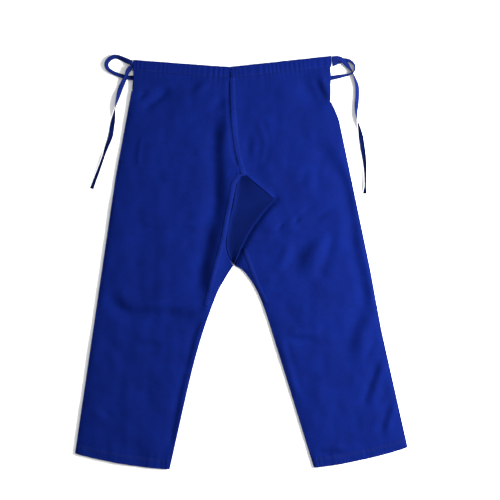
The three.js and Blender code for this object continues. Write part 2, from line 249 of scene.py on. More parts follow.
def tape(name, route, turns, hollow=0.7):
    """The tape along a route in mm. turns gives (share of its length, degrees): 0 lies flat, 90 on edge."""
    line = smooth(route)
    rows = int(lengths(line)[-1] / TAPE_STEP)
    shares = np.linspace(0, 1, rows + 1)
    line = pick(line, shares)
    turn = np.radians(np.interp(shares, *np.transpose(turns)))
    ahead = np.gradient(line, axis=0)
    ahead /= np.linalg.norm(ahead, axis=1)[:, None]
    flat_side = np.cross(ahead, (0, 0, 1.0))
    flat_side /= np.linalg.norm(flat_side, axis=1)[:, None]
    face = np.cross(flat_side, ahead)
    side = flat_side * np.cos(turn)[:, None] + face * np.sin(turn)[:, None]
    front = np.cross(side, ahead)
    # on edge, a tape on the table stands half its width above it
    rise = np.abs(np.sin(turn)) * TAPE_WIDTH / 2
    on_table = np.clip((CLEAR_OF_TABLE - line[:, 2]) / TOUCHING_DOWN, 0, 1)
    line[:, 2] += on_table * np.maximum(0, rise + TAPE_CLEARANCE - line[:, 2])

    def spot(across, along):
        k = np.clip(np.rint(along * rows).astype(int), 0, rows)
        out = (across - 0.5) * TAPE_WIDTH
        cup = (1 - (2 * across - 1) ** 2) * hollow
        return line[k] + side[k] * out[:, None] + front[k] * cup[:, None]

    length = lengths(line)[-1]
    piece = lay(name, 6, rows, spot, (TAPE_WIDTH, length), TAPE_THICKNESS, cotton_tape)
    return piece, line * MM, length * MM


LEFT_TAIL_ROUTE = [(-262.3, 467.2, 10.4), (-266.3, 467.5, 10.4), (-272.5, 461, 9.4), (-277, 451, 7.2),
                   (-282.5, 439, 4.4), (-287.5, 428, 2.2), (-292, 418, 2), (-299.5, 390, 1.8),
                   (-304, 371, 1.8), (-311, 332, 1.8), (-316, 303, 1.8), (-326, 275, 1.8),
                   (-335.5, 246, 1.8), (-346, 217, 1.8), (-357, 188, 1.8), (-360.5, 177, 1.8)]
LEFT_LOOP_ROUTE = [(-261.4, 479, 11.7), (-265.4, 479.3, 11.7), (-274, 483.5, 10), (-285, 489, 7),
                   (-299, 494.5, 2.8), (-309, 494, 1.9), (-320, 487, 1.8), (-325.5, 477, 1.8),
                   (-322, 466, 1.8), (-311, 457.5, 1.8), (-300.5, 452.8, 1.8), (-290, 449, 1.8),
                   (-275, 445, 1.9), (-266, 444, 1.6), (-260.9, 444, 1.6)]
RIGHT_LOOP_ROUTE = [(216.9, 476.8, 10.4), (220.9, 477.2, 10.4), (227, 480, 8.4), (236, 484, 5.2),
                    (248, 486.8, 2.2), (260, 484.5, 2), (269.5, 476.5, 1.8), (272, 466, 1.8),
                    (267.5, 456.5, 1.8), (255, 451, 1.8), (245.5, 448.8, 1.8), (236, 447, 1.8),
                    (225, 445, 1.9), (219, 444, 1.6), (214.9, 444, 1.6)]
RIGHT_TAIL_ROUTE = [(215.7, 488.5, 11.7), (219.7, 488.9, 11.7), (228, 490, 11.2), (238, 488, 9.8),
                    (250, 478, 7.2), (265.5, 457.5, 4.6), (272, 443, 2.6), (277.5, 424, 2),
                    (278, 400, 1.8), (275.5, 366, 1.8), (278, 344, 1.8), (286.5, 304, 1.8),
                    (291, 275, 1.8), (295, 246, 1.8), (297, 217, 1.8), (297, 188, 1.8),
                    (296, 165, 1.8)]

for name, body, route, turns, far_end in [
        ("left_tail_tape", "left_tail", LEFT_TAIL_ROUTE,
         [(0, 10), (0.09, 62), (0.19, 15), (0.335, 90), (0.45, 150), (0.55, 165), (0.73, 125), (1, 140)],
         "bare"),
        ("right_tail_tape", "right_tail", RIGHT_TAIL_ROUTE,
         [(0, 0), (0.1, 15), (0.18, 80), (0.27, 42), (0.4, 35), (0.515, 90), (0.62, 148), (0.7, 150),
          (0.85, 115), (0.95, 102), (1, 130)], "bare"),
        ("left_loop_tape", "seat", LEFT_LOOP_ROUTE,
         [(0, 0), (0.08, 6), (0.2, 36), (0.35, 42), (0.5, 42), (0.62, 42), (0.8, 38), (1, 20)], "object"),
        ("right_loop_tape", "seat", RIGHT_LOOP_ROUTE,
         [(0, 0), (0.25, 30), (0.45, 60), (0.6, 82), (0.72, 70), (1, 35)], "object")]:
    piece, path, length = tape(name, route, turns)
    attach(piece, body)
    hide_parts("drawcord_" + name.replace("_tape", ""))

# ---------------------------------------------------------------- trouser legs
# Each leg is a front and a back of cotton drill, cut in one from waist to hem
# and sewn together down both sides. Laid flat they hold a little air between
# them, and the fronts keep soft creases from being worn and folded.

CLOTH = 0.9
CASING_DEPTH = 26.0
HEM_DEPTH = 24.0
CUFF = 230
DIP = (-29, 469)
FORK = (-2, 217)
GUSSET_TIP = (79, 150)
CROTCH = (-19, -5)
BACK_DROP = 12
BACK_FORK = (-4, 190)
BACK_KITE = {"left": (-74, 62), "right": (36, 62)}
UP_LEG = {"left": (0.16505, 0.98629), "right": (-0.21474, 0.97667)}
HEM_BOW = 5.5


def bend(start, pull, end, steps=24):
    """A curve from start to end, pulled towards a third point."""
    t = np.linspace(0, 1, steps)[:, None]
    return (1 - t) ** 2 * np.array(start) + 2 * t * (1 - t) * np.array(pull) + t * t * np.array(end)


def chain(*parts):
    """Lines and points joined end to end."""
    points = np.vstack([np.atleast_2d(part) for part in parts]).astype(float)
    keep = np.concatenate([[True], np.linalg.norm(np.diff(points, axis=0), axis=1) > 1e-6])
    return points[keep]


def cut(line, start, end):
    """A line with start mm taken off its beginning and end mm off its end."""
    total = lengths(line)[-1]
    return pick(line, np.linspace(start / total, 1 - end / total, 80))


LEG = {
    "left": {"corner": (-260.5, 486), "foot": (-264, 414), "hip": [(-302.6, 207.6)],
             "thigh": [(-41, -40), (-66, -90), (-113, -234)],
             "hem_out": (-400.45, -458.87), "hem_in": (-173.6, -496.83)},
    "right": {"corner": (214.5, 495.5), "foot": (214.5, 386.5),
              "hip": [(226.5, 361.5), (234, 342), (309, -17.5), (335.5, -162)],
              "thigh": [(10, -26), (47, -90), (94, -234)],
              "hem_out": (398.73, -443.81), "hem_in": (174.1, -493.2)},
}
CENTRE = bend(DIP, (-27, 281), FORK)
TURNED_EDGE = bend(GUSSET_TIP, (22, 105), CROTCH)
GUSSET_SIDE = smooth([FORK, (-13, 182), (-20, 140), (-30, 98), (-36, 56), (-33, 24), CROTCH], 5)
OUTSEAM = {side: chain(leg["foot"], *leg["hip"], leg["hem_out"]) for side, leg in LEG.items()}
INSEAM = {side: smooth([CROTCH, *leg["thigh"], leg["hem_in"]], 10) for side, leg in LEG.items()}
HEM_EDGE = {side: bend(leg["hem_out"], (np.array(leg["hem_out"]) + leg["hem_in"]) / 2
                       - 2 * HEM_BOW * np.array(UP_LEG[side]), leg["hem_in"])
            for side, leg in LEG.items()}
LEFT_RIDGE = np.array([FORK, (-19, 190), (-35, 110), (-44, 56), (-72, -45), (-87, -108)], float)


def near(x, y, line):
    """Each point's distance from a line, its share of the way along it, and how far it is to the
    side of it that faces the upper right."""
    best, share, beside = np.full(x.shape, 1e9), np.zeros(x.shape), np.zeros(x.shape)
    run = lengths(line)
    for a, b, start, end in zip(line, line[1:], run, run[1:]):
        step = (b - a) / (end - start)
        t = np.clip((x - a[0]) * step[0] + (y - a[1]) * step[1], 0, end - start)
        away = np.stack([x - a[0] - t * step[0], y - a[1] - t * step[1]])
        gap = np.hypot(*away)
        normal = np.array([-step[1], step[0]])
        if normal[0] * 0.8 + normal[1] * 0.6 < 0:
            normal = -normal
        closer = gap < best
        best = np.where(closer, gap, best)
        share = np.where(closer, (start + t) / run[-1], share)
        beside = np.where(closer, away[0] * normal[0] + away[1] * normal[1], beside)
    return best, share, beside


def swell(x, y, size, seed):
    """Gentle unevenness of the cloth, about size mm across, from -1 to 1."""
    flat = [noise.noise(Vector((a / size, b / size, seed))) for a, b in zip(np.ravel(x), np.ravel(y))]
    return np.reshape(flat, np.shape(x)) * 1.6


def ease(share):
    """0 to 1 with no jolt at either end."""
    share = np.clip(share, 0, 1)
    return share * share * (3 - 2 * share)


# (line in mm, half its width, how deep it sinks, how much higher the cloth lies on its upper right)
CREASES = [
    # left front: drag lines below the waist, the long valley beside the centre seam, the knee
    ([(-224, 416), (-256, 386)], 6, 1.4, 0.0),
    ([(-168, 424), (-205, 392), (-246, 362)], 8, 2.2, 0.0),
    ([(-70, 442), (-97, 418), (-126, 396)], 8, -1.6, 0.0),
    ([(-40, 402), (-78, 356)], 9, 1.6, 0.0),
    ([(-46, 372), (-54, 278), (-50, 198), (-54, 118), (-74, 38), (-94, -58), (-88, -90)], 17, 0.5, 5.2),
    ([(-238, 306), (-246, 270), (-248, 226)], 4, -0.7, 0.0),
    ([(-204, 194), (-126, 194)], 8, 0.0, 1.0),
    ([(-246, 84), (-170, 87), (-96, 86)], 8, 0.0, 1.5),
    ([(-304, -52), (-292, -92), (-262, -112), (-180, -114), (-100, -120)], 16, 0.4, 4.6),
    ([(-264, -190), (-184, -190)], 9, 0.0, 1.7),
    ([(-334, -174), (-274, -270)], 11, 0.0, -1.0),
    ([(-350, -342), (-298, -406)], 10, 0.0, -1.0),
    ([(-96, -130), (-120, -220), (-146, -330), (-166, -450)], 9, 0.3, 2.2),
    ([(-32, 442), (-31.5, 380), (-28, 320), (-20, 262), (-9, 228)], 3, 0.9, 0.0),
    # right front: the slack over the thigh, the folds beside the gusset, the outer leg
    ([(150, 462), (180, 412), (204, 370)], 20, 0.4, 4.0),
    ([(178, 452), (196, 414), (212, 380)], 8, 0.4, 2.6),
    ([(28, 306), (22, 270), (20, 232)], 9, 0.0, 1.2),
    ([(40, 350), (60, 290), (48, 232)], 7, 0.0, -0.9),
    ([(86, 92), (98, 80)], 8, 1.0, 0.0),
    ([(126, 108), (138, 96)], 8, 1.0, 0.0),
    ([(176, 244), (128, 192)], 10, 0.0, -1.0),
    ([(176, 250), (176, 154)], 10, 0.0, -0.7),
    ([(150, 100), (216, 128)], 8, 0.2, 1.2),
    ([(24, 74), (144, 74)], 8, 0.0, 1.7),
    ([(130, 52), (110, 10), (90, -32)], 10, 0.0, -2.4),
    ([(174, 68), (150, 16), (130, -42)], 14, 0.3, 3.2),
    ([(214, 76), (192, 14), (170, -50)], 12, 0.0, -2.8),
    ([(172, 306), (212, 262), (252, 198), (272, 118), (278, 46), (300, -42), (300, -114), (270, -186),
      (258, -256)], 16, 0.5, 2.7),
    ([(318, -174), (282, -246)], 9, 0.0, -1.1),
    ([(338, -228), (316, -290), (294, -350)], 9, 0.3, 2.2),
    ([(350, -286), (314, -350)], 9, 0.0, -1.2),
    ([(366, -324), (346, -384), (334, -424)], 9, 0.3, 2.4),
    ([(100, -178), (192, -178)], 9, 0.0, 2.6),
    ([(96, -176), (118, -250), (142, -330)], 9, 0.0, -1.4),
    ([(170, -262), (182, -286)], 16, 0.6, 0.4),
    ([(176, -452), (264, -452)], 8, 0.3, 1.4),
]
# how sharply the creases have set, and the factor that puts the cloth half of the lift higher on
# one side of a crease and half lower on the other
SET_IN = 2.2
HALF_LIFT = 0.82


def creases(x, y):
    """How far the creases raise or sink the cloth at each point, in mm."""
    total = np.zeros(x.shape)
    for line, width, sink, lift in CREASES:
        line = smooth(line, 4) if len(line) > 2 else np.array(line, float)
        gap, share, beside = near(x, y, line)
        length = lengths(line)[-1]
        fade = ease(np.minimum(share, 1 - share) * length / min(4 * width, 0.45 * length) + 0.04)
        mound = np.exp(-0.5 * (gap / width) ** 2) * fade
        total += mound * (HALF_LIFT * lift * beside / width - sink)
    return total * SET_IN


# at the outseam and the inseam: how high the edge stands, and over how wide a strip the cloth rounds to it
EDGE_HEIGHT = {"left": (4.6, 7.5), "right": (6.0, 5.0)}
EDGE_ROUND = {"left": (22, 14), "right": (16, 20)}
FRONT_TOP = 9.6
BACK_HEIGHT = 1.0
CASING_LEVEL = 11.0
# (how high, how much narrower than long, size, seed) of the slack cloth's own waves
SLACK = [(1.4, 1.5, 80, 3.1), (0.8, 1.6, 42, 5.2), (0.35, 1.0, 20, 8.4)]
# (how high, half its width) of the ridges that the seams hold up
CENTRE_RIDGE = (2.0, 11)
HIP_RIDGE = (3.0, 6)
THIGH_RIDGE = (2.8, 8)
# how far the right leg sinks beside the gusset's rolled fold, how wide that is, and how low it may lie
SLIT_DEPTH = 8.0
SLIT_WIDTH = 10
LOWEST_FRONT = 2.6
# over how many mm creases die away at the side seams, and gathers, the casing's height and the hem's
# puckers die away into the leg
CREASE_FADE = 14
GATHER_FADE = 13
CASING_FADE = 20
HEM_FADE = 12
# how far below the vent's foot the flat edge has turned into the rounded outseam
VENT_TURN = 60
GATHER = 12


def held_up(x, y, line, high, half_width):
    """The rounded ridge along a seam that lifts the cloth."""
    return high * np.exp(-0.5 * (near(x, y, line)[0] / half_width) ** 2)


def front_height(x, y, side):
    """The height of a leg's front cloth above the table, in mm."""
    leg = LEG[side]
    out_gap, out_share, _ = near(x, y, OUTSEAM[side])
    in_gap, _, _ = near(x, y, INSEAM[side])
    crown = FRONT_TOP + sum(high * swell(x * narrow, y, size, seed) for high, narrow, size, seed in SLACK)
    level = crown + creases(x, y) * ease(np.minimum(out_gap, in_gap) / CREASE_FADE + 0.25)
    # gathers hang below the waist casing and die away
    top_line = chain(leg["corner"], DIP) if side == "left" else chain(DIP, leg["corner"])
    top_gap, top_share, _ = near(x, y, top_line)
    run = top_share * lengths(top_line)[-1]
    below_casing = np.clip(top_gap - CASING_DEPTH, 0, None)
    level += gathers(run, side) * 0.5 * np.exp(-below_casing / GATHER_FADE)
    level += (CASING_LEVEL - crown) * np.exp(-below_casing / CASING_FADE)
    # the cloth is held up under the centre seam and round the gusset
    level += held_up(x, y, CENTRE, *CENTRE_RIDGE)
    if side == "right":
        level += held_up(x, y, chain(FORK, GUSSET_TIP), *HIP_RIDGE)
        level -= SLIT_DEPTH * np.exp(-((near(x, y, TURNED_EDGE)[0] / SLIT_WIDTH) ** 2))
        level = np.maximum(level, LOWEST_FRONT)
    else:
        level += held_up(x, y, LEFT_RIDGE, *THIGH_RIDGE)
    # puckers along the hem
    hem_gap, hem_share, _ = near(x, y, HEM_EDGE[side])
    above_hem = np.clip(hem_gap - HEM_DEPTH, 0, None)
    level += 0.5 * puckers(hem_share * CUFF, 9, 5.5) * np.exp(-above_hem / HEM_FADE)
    # down to the side seams, below the vent
    below_vent = ease(out_share * lengths(OUTSEAM[side])[-1] / VENT_TURN)
    below_crotch = ease(0.3 - y / 40)
    for gap, edge, reach, part in [(out_gap, EDGE_HEIGHT[side][0], EDGE_ROUND[side][0], below_vent),
                                   (in_gap, EDGE_HEIGHT[side][1], EDGE_ROUND[side][1], below_crotch)]:
        drop = 1 - np.sqrt(1 - (1 - np.clip(gap / reach, 0, 1)) ** 2)
        ripple = 0.35 * puckers(y, 11, 2.2) * np.exp(-gap / 9)
        level += part * (drop * (edge - level) + ripple)
    return level


def gathers(run, side):
    """The drawn-up ripples of the waist: about one every GATHER mm, none quite alike."""
    wander = 16 * np.array([noise.noise(Vector((a / 55, 4.2, len(side)))) for a in np.ravel(run)])
    size = 0.7 + 1.3 * np.array([noise.noise(Vector((a / 40, 9.7, len(side)))) for a in np.ravel(run)])
    return np.sin(2 * pi * (run + wander.reshape(run.shape)) / GATHER) * size.reshape(run.shape)


def puckers(run, spacing, seed):
    """Small uneven lumps along a line of stitching, from -1 to 1."""
    lumps = [noise.noise(Vector((a / spacing, seed, 0.5))) for a in np.ravel(run)]
    return np.reshape(lumps, run.shape) * 1.8


def back_height(x, y):
    """The height of the back cloth, which lies on the table but for slight lifts."""
    return BACK_HEIGHT + 0.35 * np.clip(swell(x, y, 60, 6.6), 0, None)


# the cloth between the seams of one leg's front or back, across and along
THREAD_GRID = (250, 930)

# cotton drill, twill woven and piece dyed royal blue, washed: matt with a slight bloom. Its real
# twill lines are 0.6 mm apart and are drawn at 1.8 mm to show.
drill = cloth_weave("cotton_drill_twill", "#031557", "#020938", 1.8, 0.85, 0.01)

# how far down the outseam the crotch is
CROTCH_SHARE = 0.46


def leg_edges(side, front):
    """A leg cloth's outer and inner edges, each in a part above the crotch and a part below it."""
    leg = LEG[side]
    if front:
        under = np.array([-5, 3]) * np.sin(pi * np.linspace(0, 1, len(TURNED_EDGE)))[:, None]
        inner_top = chain(CENTRE, GUSSET_SIDE if side == "left" else TURNED_EDGE + under)
        outer_top = chain(leg["corner"], leg["foot"])
    else:
        inner_top = chain((DIP[0], DIP[1] - BACK_DROP), BACK_FORK, BACK_KITE[side], CROTCH)
        outer_top = chain((leg["corner"][0], DIP[1] - BACK_DROP), leg["foot"])
    outer_top = chain(outer_top, pick(OUTSEAM[side], np.linspace(0, CROTCH_SHARE, 30)))
    outer_low = pick(OUTSEAM[side], np.linspace(CROTCH_SHARE, 1, 30))
    return (cut(outer_top, CASING_DEPTH - 2, 0), cut(outer_low, 0, HEM_DEPTH - 2),
            cut(inner_top, CASING_DEPTH - 2, 0), cut(INSEAM[side], 0, HEM_DEPTH - 2))


TOP_SHARE = 0.47
SEAM_SHARE = 0.008


def down(top, low, share):
    """The points at a share of the way down an edge, which is in a top and a lower part."""
    upper = pick(top, np.clip(share / TOP_SHARE, 0, 1))
    lower = pick(low, np.clip((share - TOP_SHARE) / (1 - TOP_SHARE), 0, 1))
    return np.where((share < TOP_SHARE)[:, None], upper, lower)


def leg_cloth(side, front):
    """One leg's front or back cloth, on its grid of threads."""
    outer_top, outer_low, inner_top, inner_low = leg_edges(side, front)

    def spot(across, along):
        outer = down(outer_top, outer_low, along)
        inner = down(inner_top, inner_low, along)
        middle = SEAM_SHARE + (1 - 2 * SEAM_SHARE) * across
        flat = outer * (1 - middle[:, None]) + inner * middle[:, None]
        bow = HEM_BOW * 4 * middle * (1 - middle) * ease((along - 0.8) / 0.2)
        flat -= bow[:, None] * np.array(UP_LEG[side])
        x, y = flat[:, 0], flat[:, 1]
        height = front_height(x, y, side) if front else back_height(x, y)
        return np.column_stack([x, y, height])

    columns, rows = (84, 300) if front else (44, 150)
    word = "front" if front else "back"
    return lay(f"{side}_{word}_cloth", columns, rows, spot, THREAD_GRID, CLOTH, drill)


def bend_at_knee(piece):
    """Bakes the piece's placement into its mesh."""
    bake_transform(piece)


for side in LEG:
    for front in (True, False):
        piece = leg_cloth(side, front)
        word = "front" if front else "back"
        bend_at_knee(piece)
        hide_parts(f"{side}_{word}_panel", f"{side}_{word}_shin")

# ---------------------------------------------------------------- crotch gusset
# A diamond of the same drill let in at the crotch and folded in half, front to
# back. In front its slack sinks into a pocket, and its fold rolls over on to the
# right leg from the diamond's tip down to the crotch.

# the same drill cut on the cross, its twill running the other way, coloured darker than the legs as painted
# shade for the gusset's sunken pocket
cross_drill_with_painted_shade = cloth_weave("cotton_drill_on_the_cross_painted_shade", "#021148", "#01072E", 1.8, 0.88, 0.01, tilt=17)

POCKET = 3.6
FOLD_TOP = 13.2
FOLD_ROLL = 2.0
FOLD_UNDER = 5.0
ROLL_START = 0.84
ROLL_END = 0.94
RIGHTWARD = np.array([0.80, -0.60])


def front_gusset(across, along):
    """The diamond's front half: joined to the left leg and, above its tip, to the right hip. Below
    the tip its fold rolls over and lies on the right leg."""
    left = pick(GUSSET_SIDE, along)
    right_edge = chain(FORK, TURNED_EDGE)
    right = pick(right_edge, along)
    tip_share = lengths(chain(FORK, GUSSET_TIP))[-1] / lengths(right_edge)[-1]
    rolled = ease((along - tip_share + 0.02) / 0.06) * ease((1 - along) / 0.06)
    reach = np.clip(across / ROLL_START, 0, 1)
    roll = np.clip((across - ROLL_START) / (ROLL_END - ROLL_START), 0, 1) * pi
    under = np.clip((across - ROLL_END) / (1 - ROLL_END), 0, 1)
    flat = left + (right - left) * reach[:, None]
    x = flat[:, 0] - 3 * (1 - reach) * np.sin(pi * along)
    y = flat[:, 1]
    side_gap, _, _ = near(x, y, GUSSET_SIDE)
    edge_gap, _, _ = near(x, y, right_edge)
    low = POCKET + (FOLD_TOP - 1 - POCKET) * reach + 0.5 * swell(x, y, 34, 1.7)
    joined = np.minimum(front_height(x, y, "left"), front_height(x, y, "right")) - 1.1
    held = np.exp(-side_gap / 4.5)
    height = low + held * (joined - low)
    height = height + np.exp(-edge_gap / 5) * (FOLD_TOP - 0.6 * (1 - rolled) - height)
    out = FOLD_ROLL * np.sin(roll) - FOLD_UNDER * under
    x = x + RIGHTWARD[0] * out * rolled
    y = y + RIGHTWARD[1] * out * rolled
    height = height - FOLD_ROLL * (1 - np.cos(roll)) * rolled
    return np.column_stack([x, y, height])


def back_gusset(across, along):
    """The back half, which lies flat between the two back legs."""
    left = pick(chain(BACK_FORK, BACK_KITE["left"], CROTCH), along)
    right = pick(chain(BACK_FORK, BACK_KITE["right"], CROTCH), along)
    flat = left + (right - left) * (0.01 + 0.98 * across)[:, None]
    return np.column_stack([flat, back_height(flat[:, 0], flat[:, 1])])


for name, spot, flat, area in [("gusset_front_cloth", front_gusset, (0.11, 0.22), 0.0122),
                               ("gusset_back_cloth", back_gusset, (0.11, 0.19), 0.0105)]:
    piece = lay(name, 40, 60, spot, (flat[0] / MM, flat[1] / MM), CLOTH, cross_drill_with_painted_shade, closed=True)
    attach(piece, "seat")
    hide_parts(name.replace("_cloth", ""))

# ---------------------------------------------------------------- side seams
# Outseams and inseams, where each front is joined to its back: felled, stitched
# and pressed, so the cloth turns round a firm narrow edge.

EDGE_WIDTH = 2.4
EDGE_STEP = 4
EDGE_WRAP = radians(250)


def side_seam(side, line, from_hem):
    """The rounded edge from the front cloth round to the back cloth."""
    line = cut(line, 1.5, 0)
    leg = LEG[side]
    centre = (np.array(leg["hem_out"]) + np.array(leg["hem_in"])) / 2
    rows = int(lengths(line)[-1] / EDGE_STEP)

    def spot(across, along):
        at = pick(line, along)
        ahead = pick(line, np.clip(along + 0.01, 0, 1)) - pick(line, np.clip(along - 0.01, 0, 1))
        normal = np.column_stack([ahead[:, 1], -ahead[:, 0]])
        normal /= np.linalg.norm(normal, axis=1)[:, None]
        inward = (pick(line, [1.0])[0] - centre) @ normal[-1]
        normal *= 1 if inward > 0 else -1
        turn = EDGE_WRAP * (0.5 - across)
        edge = at - normal * EDGE_WIDTH
        top = front_height(edge[:, 0], edge[:, 1], side) + 0.35
        low = back_height(edge[:, 0], edge[:, 1]) - 0.2
        out = at - normal * (EDGE_WIDTH - EDGE_WIDTH * np.cos(turn))[:, None]
        height = (top + low) / 2 + (top - low) / 2 * np.sin(np.clip(turn, -pi / 2, pi / 2))
        return np.column_stack([out, height])

    return lay(f"{side}_{from_hem}_edge", 10, rows, spot, (14, lengths(line)[-1]), CLOTH, seam_cloth)


# the same drill, doubled and pressed hard: the twill is flattened and a little worn
seam_cloth = cloth_weave("cotton_drill_pressed_seam", "#03175C", "#020938", 1.8, 0.8, 0.01)

for side in LEG:
    for word, line in [("outseam", OUTSEAM[side]), ("inseam", INSEAM[side])]:
        piece = side_seam(side, line, word)
        bend_at_knee(piece)
        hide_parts(f"{side}_{word}_thigh", f"{side}_{word}_shin")

# ---------------------------------------------------------------- felled seams
# Flat-felled seams down the centre front and back and from the gusset down each
# leg: the edges are folded into each other and held by two rows of stitching.

SEAM_RISE = 1.3
STITCH = 3.2
SEAM_STEP = 1.6
STITCH_HALF = 0.44
# half the width and half the height of the thread: the real one is 0.4 mm across and is drawn wider,
# to show
THREAD = (0.5, 0.22)
ROW_FROM_EDGE = 2.2
# spun polyester sewing thread, dyed to match, round and slightly glossier than the cloth; its colour is set
# darker than the cloth's as painted shade along the stitch lines
thread, tree = blank_material("spun_polyester_thread_darkened_for_shade")
where = put(tree, "TexCoord")
twist = put(tree, "TexNoise", {"Vector": where.outputs["Object"], "Scale": 900.0})
tint = put(tree, "ValToRGB", {"Fac": twist.outputs["Fac"]})
tint.color_ramp.elements[0].color = linear("#040B30")
tint.color_ramp.elements[1].color = linear("#081848")
strand = put(tree, "BsdfPrincipled", {"Base Color": tint.outputs["Color"], "Roughness": 0.7,
                                      "Specular IOR Level": 0.1, "Sheen Weight": 0.02})
put(tree, "OutputMaterial", {"Surface": strand.outputs["BSDF"]})


def stitching(name, rows, body):
    """Rows of stitches, each a short rounded length of thread lying on the cloth."""
    bm = bmesh.new()
    for row in rows:
        count = int(lengths(row)[-1] / STITCH)
        knots = pick(row, np.linspace(0, 1, count + 1))
        for a, b in zip(knots, knots[1:]):
            step = Vector(b - a)
            size = Matrix.Diagonal((*THREAD, step.length * STITCH_HALF, 1))
            turn = step.to_track_quat("Z", "Y").to_matrix().to_4x4()
            middle = Matrix.Translation(Vector((a + b) / 2))
            bmesh.ops.create_uvsphere(bm, u_segments=6, v_segments=4, radius=1,
                                      matrix=Matrix.Scale(MM, 4) @ middle @ turn @ size)
    for face in bm.faces:
        face.smooth = True
    mesh = bpy.data.meshes.new(name)
    bm.to_mesh(mesh)
    bm.free()
    mesh.materials.append(thread)
    piece = bpy.data.objects.new(name, mesh)
    bpy.context.collection.objects.link(piece)
    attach(piece, body)


def beside(line, share, out):
    """A point beside a line: share along it, and out mm to the right of its run."""
    at = pick(line, share)
    ahead = pick(line, np.clip(share + 0.01, 0, 1)) - pick(line, np.clip(share - 0.01, 0, 1))
    ahead /= np.linalg.norm(ahead, axis=1)[:, None]
    return at + np.column_stack([-ahead[:, 1], ahead[:, 0]]) * np.reshape(out, (-1, 1))


def felled(name, line, width, height):
    """A felled seam along a line, with a row of stitches near each edge."""
    length = lengths(line)[-1]
    rows = int(length / SEAM_STEP)

    def spot(across, along):
        flat = beside(line, along, (across - 0.5) * width)
        x, y = flat[:, 0], flat[:, 1]
        lump = 0.3 * puckers(along * length, 5, width) * np.sin(pi * across)
        ridge = SEAM_RISE * (1 - (2 * across - 1) ** 6) + lump
        groove = np.exp(-((np.abs(across - 0.5) * width - (width / 2 - ROW_FROM_EDGE)) / 0.7) ** 2)
        return np.column_stack([x, y, height(x, y) + ridge - 0.45 * groove])

    piece = lay(name, 20, rows, spot, (width, length), CLOTH, seam_cloth)
    share = np.linspace(0.005, 0.995, rows)
    both = []
    for across in (ROW_FROM_EDGE / width, 1 - ROW_FROM_EDGE / width):
        both.append(spot(np.full(rows, across), share) + [0, 0, CLOTH / 2 + 0.1])
    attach(piece, "seat")
    stitching(name + "_stitching", both, "seat")
    return piece


def both_fronts(x, y):
    """The height where the left and right fronts meet."""
    return front_height(x, y, "left") * 0.5 + front_height(x, y, "right") * 0.5


# folded towards the right, so its middle lies to the right of the line where the fronts meet
WIDE_FELL = 14
FELL_SHIFT = 5.0

centre_front = cut(chain(DIP, CENTRE, (2, 208)), CASING_DEPTH - 1, 0) + [FELL_SHIFT, 0]
piece = felled("centre_front_fell", centre_front, WIDE_FELL, both_fronts)
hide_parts("centre_front_seam")
centre_back = cut(chain((DIP[0], DIP[1] - BACK_DROP), BACK_FORK, (-4, 182)), CASING_DEPTH, 0)
piece = felled("centre_back_fell", centre_back, WIDE_FELL, lambda x, y: back_height(x, y) + 0.3)
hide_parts("centre_back_seam")
piece = felled("left_gusset_fell", cut(LEFT_RIDGE, 5, 4), 12, lambda x, y: front_height(x, y, "left"))
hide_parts("left_gusset_seam")
right_ridge = np.array([(5, 33), (21, -7), (37, -51), (59, -97)], float)
piece = felled("right_gusset_fell", right_ridge, 10, lambda x, y: front_height(x, y, "right"))
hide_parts("right_gusset_seam")

# ---------------------------------------------------------------- waist casings
# The top edge is turned over and stitched down to make a flat sleeve for the
# cord, open at both vents. The cord has drawn it into small upright gathers.

CASING_HALF = CASING_DEPTH / 2
SLEEVE_STEP = 1.5
CASING_ROW = CASING_DEPTH - 2.5


def casing(name, top_line, middle, half, side, limits):
    """A flat sleeve below top_line, with its mouths open."""
    length = lengths(top_line)[-1]
    rows = int(length / SLEEVE_STEP)

    def spot(across, along):
        turn = 2 * pi * across
        drop = CASING_HALF * (1 - np.cos(turn))
        flat = beside(top_line, along, -drop)
        bulge = np.sign(np.sin(turn)) * np.abs(np.sin(turn)) ** 0.7
        run = along * length
        drawn = gathers(run, side) * (0.5 if side else 0.3) * np.clip(np.sin(turn), 0, 1) ** 0.5
        edge = 0.6 * puckers(run, 10, 3.3) * (drop < 2)
        seam = np.exp(-((drop - CASING_ROW) / 0.8) ** 2) * (np.sin(turn) > 0) * 0.5
        height = middle + half * bulge + drawn - 0.6 * seam
        x = np.clip(flat[:, 0], *limits)
        return np.column_stack([x, flat[:, 1] + edge * 0.5, height])

    piece = lay(name, 36, rows, spot, (2 * CASING_DEPTH, length), 0.8, drill, closed=True)
    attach(piece, "seat")
    share = np.linspace(0.004, 0.996, rows)
    turn = np.arccos(1 - CASING_ROW / CASING_HALF) / (2 * pi)
    row = spot(np.full(rows, turn), share) + [0, 0, 0.5]
    stitching(name + "_stitching", [row], "seat")
    return piece


corner_left, corner_right = LEG["left"]["corner"], LEG["right"]["corner"]
piece = casing("waist_casing_left", chain(corner_left, DIP), 11.0, 1.9, "left", (-300, DIP[0] - 0.2))
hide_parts("waist_casing_front_left")
piece = casing("waist_casing_right", chain(DIP, corner_right), 11.0, 1.9, "right", (DIP[0] + 0.2, 214.5))
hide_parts("waist_casing_front_right")
back_top = chain((corner_left[0], DIP[1] - BACK_DROP), (corner_right[0], DIP[1] - BACK_DROP))
piece = casing("waist_casing_behind", back_top, 1.9, 1.4, "", (-300, 300))
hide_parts("waist_casing_back")

# the cord inside the casings: two runs side by side in front, one behind
CORD_APART = 5.9
ROOT = 130.0
LOWER_RUN = 10.3
UPPER_RUN = 11.6
BACK_RUN = (444, 1.9)


def threaded(start, end, drop, height):
    """A stretch of the cord inside the front casing, between two distances from the left corner."""
    whole = chain(corner_left, DIP, corner_right)
    total = lengths(whole)[-1]
    points = pick(whole, np.linspace(start / total, end / total, 16))
    return [(x, y - drop, height) for x, y in points]


